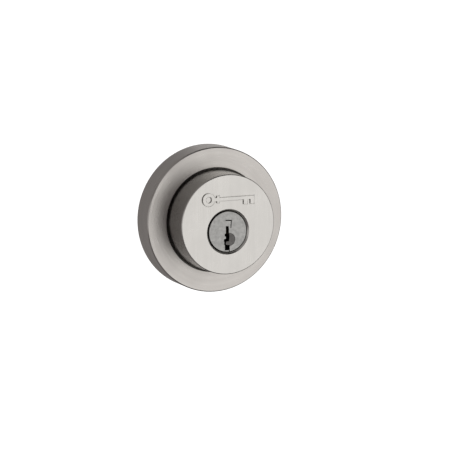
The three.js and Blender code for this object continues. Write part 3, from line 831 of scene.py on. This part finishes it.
def make_cap():
    """The disc behind the plug, with a quarter of its hole filled to drive the blade."""
    low, high = span("driver_cap")
    hole, gap = 3.5, 0.2
    near = math.degrees(math.asin(gap / hole))
    opening = arc(0, 0, hole, 90 - near, 360 + near, 72) + [(gap, gap)]
    cap = slab("driver_cap_disc", circle(0, 0, radius_of("driver_cap"), 96), low.y, high.y, [opening])
    for z in (-CAP_SCREW_Z, CAP_SCREW_Z):
        cut(cap, rod("cap_hole", radius=0.95, back=low.y - PAST, front=high.y + PAST, z=z, segments=24))
    return dress(soften(cap, 0.15), ZINC, "plug", "zinc_casting", "driver_cap")


def half_round(radius, steps):
    rounding = 0.2
    return fillet(arc(0, 0, radius, 180, 360, steps), {0: rounding, steps: rounding})


def make_blade():
    """A half-round bar with a disc for its foot and a narrower tip."""
    low, high = span("torque_blade")
    tip_length = 3
    foot = rod("blade_foot", radius=4.9, back=-8.1, front=high.y, edge=0.2)
    shaft = slab("blade_shaft", half_round(3.3, 40), back=low.y + tip_length, front=-6)
    tip = slab("blade_tip", half_round(2.0, 32), back=low.y, front=-8)
    blade = join(foot, shaft, tip)
    return dress(soften(blade, 0.12), PLATED, "torque_blade", "plated_steel", "torque_blade")


# ---------------------------------------------------------------- build


make_rose()
make_collar()
make_mounting_plate()
make_adapter_ring()
make_cylinder_body()
make_keeper()
for number in (1, 2):
    make_screw(f"keeper_screw_{number}", "trim", shank=0.95, rise=1.3, slot_width=0.42, cross=True)
    make_screw(f"cap_screw_{number}", "plug", shank=0.7, rise=0.9, slot_width=0.3, cross=False)
make_plug()
make_insert()
for number in range(1, PIN_COUNT + 1):
    make_pin(number)
make_springs()
make_clip()
make_cap()
make_blade()

# The CAD pieces that stay: the racks, their carrier, the sidebar and the spring cover, all inside the plug.
KEPT = {"rack_carrier": ZINC, "sidebar": BRASS, "pin_spring_cover": BRASS}
KEPT |= {f"rack_{i}": PLATED for i in range(1, PIN_COUNT + 1)}
for node, material in KEPT.items():
    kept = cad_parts[node]
    kept.data.materials.clear()
    kept.data.materials.append(material)


# ---------------------------------------------------------------- light, floor and camera

# Each soft light: where it is, the angles from there at which it is full and gone, and its strength.
LIGHTS = [
    ((0.60, -0.80, -0.05), 20, 48, 0.98),
    ((-0.95, -0.28, 0.0), 8, 24, 0.55),
    ((-0.50, -0.45, 0.74), 10, 36, 0.2),
    ((0.45, 0.88, 0.05), 6, 30, 0.43),
    ((-0.40, 0.90, 0.0), 20, 75, 0.13),
    ((0.75, -0.35, -0.55), 10, 34, 0.25),
]
LIGHT_COLOR = (1.0, 0.985, 0.965)
ROOM_LEVEL = 0.145
ROOM_COLOR = (1.0, 0.90, 0.88)
SHADE_DEPTH = 0.135
# Where the room is darker, above and below, and by how much.
SHADES = [
    ((0.35, -0.05, 0.93), 20, 50, SHADE_DEPTH),
    ((0.35, 0.15, -0.93), 20, 45, SHADE_DEPTH),
]
WHITE = (1, 1, 1, 1)


def build_world():
    """A soft studio: a dim room with soft lights round the object, which is plain white where it is seen."""
    world = bpy.data.worlds.new("studio")
    SCENE.world = world
    world.use_nodes = True
    tree = world.node_tree
    tree.nodes.clear()
    direction = tree.nodes.new("ShaderNodeTexCoord").outputs["Generated"]

    def math_node(operation, a, b):
        node = tree.nodes.new("ShaderNodeMath")
        node.operation = operation
        for socket, value in zip(node.inputs, (a, b)):
            if isinstance(value, float):
                socket.default_value = value
            else:
                tree.links.new(value, socket)
        return node.outputs[0]

    def lobe(toward, inner, outer, strength):
        """Full strength within inner degrees of a direction, fading to nothing at outer."""
        dot = tree.nodes.new("ShaderNodeVectorMath")
        dot.operation = "DOT_PRODUCT"
        tree.links.new(direction, dot.inputs[0])
        dot.inputs[1].default_value = Vector(toward).normalized()
        ramp = tree.nodes.new("ShaderNodeMapRange")
        ramp.interpolation_type = "SMOOTHSTEP"
        tree.links.new(dot.outputs["Value"], ramp.inputs["Value"])
        ramp.inputs["From Min"].default_value = math.cos(math.radians(outer))
        ramp.inputs["From Max"].default_value = math.cos(math.radians(inner))
        ramp.inputs["To Min"].default_value = 0
        ramp.inputs["To Max"].default_value = strength
        return ramp.outputs["Result"]

    def total(lobes):
        level = 0.0
        for settings in lobes:
            level = math_node("ADD", level, lobe(*settings))
        return level

    def glow(color, strength):
        node = tree.nodes.new("ShaderNodeBackground")
        node.inputs["Color"].default_value = (*color, 1)
        tree.links.new(strength, node.inputs["Strength"])
        return node.outputs[0]

    lights = glow(LIGHT_COLOR, total(LIGHTS))
    walls = glow(ROOM_COLOR, math_node("SUBTRACT", ROOM_LEVEL, total(SHADES)))
    room = tree.nodes.new("ShaderNodeAddShader")
    tree.links.new(lights, room.inputs[0])
    tree.links.new(walls, room.inputs[1])
    seen = tree.nodes.new("ShaderNodeBackground")
    seen.inputs["Color"].default_value = WHITE
    mix = tree.nodes.new("ShaderNodeMixShader")
    rays = tree.nodes.new("ShaderNodeLightPath")
    tree.links.new(rays.outputs["Is Camera Ray"], mix.inputs[0])
    tree.links.new(room.outputs[0], mix.inputs[1])
    tree.links.new(seen.outputs[0], mix.inputs[2])
    output = tree.nodes.new("ShaderNodeOutputWorld")
    tree.links.new(mix.outputs[0], output.inputs["Surface"])


def build_floor():
    """A pale plain floor well below the lock, which lights nothing and isn't reflected."""
    drop, half_side = 1.25, 40  # metres
    bm = bmesh.new()
    bmesh.ops.create_grid(bm, x_segments=8, y_segments=8, size=half_side)
    floor = from_bmesh("floor", bm)
    floor.location.z = -drop
    pale = bpy.data.materials.new("pale_floor")
    pale.use_nodes = True
    paint = pale.node_tree.nodes["Principled BSDF"]
    paint.inputs["Base Color"].default_value = (0.9, 0.9, 0.9, 1)
    paint.inputs["Roughness"].default_value = 0.8
    paint.inputs["Emission Color"].default_value = WHITE
    paint.inputs["Emission Strength"].default_value = 1.0
    floor.data.materials.append(pale)
    floor.visible_glossy = False
    floor.visible_diffuse = False


def build_camera():
    """A long lens, from the left of the lock and a little above it."""
    azimuth, elevation, distance = math.radians(-23.7), math.radians(9.39), 1.8
    aim = Vector((0, -13, TRIM_Z)) * MM
    toward_camera = Vector((
        math.sin(azimuth) * math.cos(elevation),
        -math.cos(azimuth) * math.cos(elevation),
        math.sin(elevation),
    ))
    lens = bpy.data.cameras.new("camera")
    lens.sensor_width = 36
    lens.lens = 319.68
    lens.shift_x, lens.shift_y = 0.02011, -0.01111
    lens.clip_start, lens.clip_end = 0.1, 100
    camera = finish_mesh("camera", lens)
    camera.location = aim + toward_camera * distance
    camera.rotation_mode = "QUATERNION"
    camera.rotation_quaternion = (-toward_camera).to_track_quat("-Z", "Y")
    SCENE.camera = camera


build_world()
build_floor()
build_camera()
SCENE.view_settings.view_transform = "Standard"
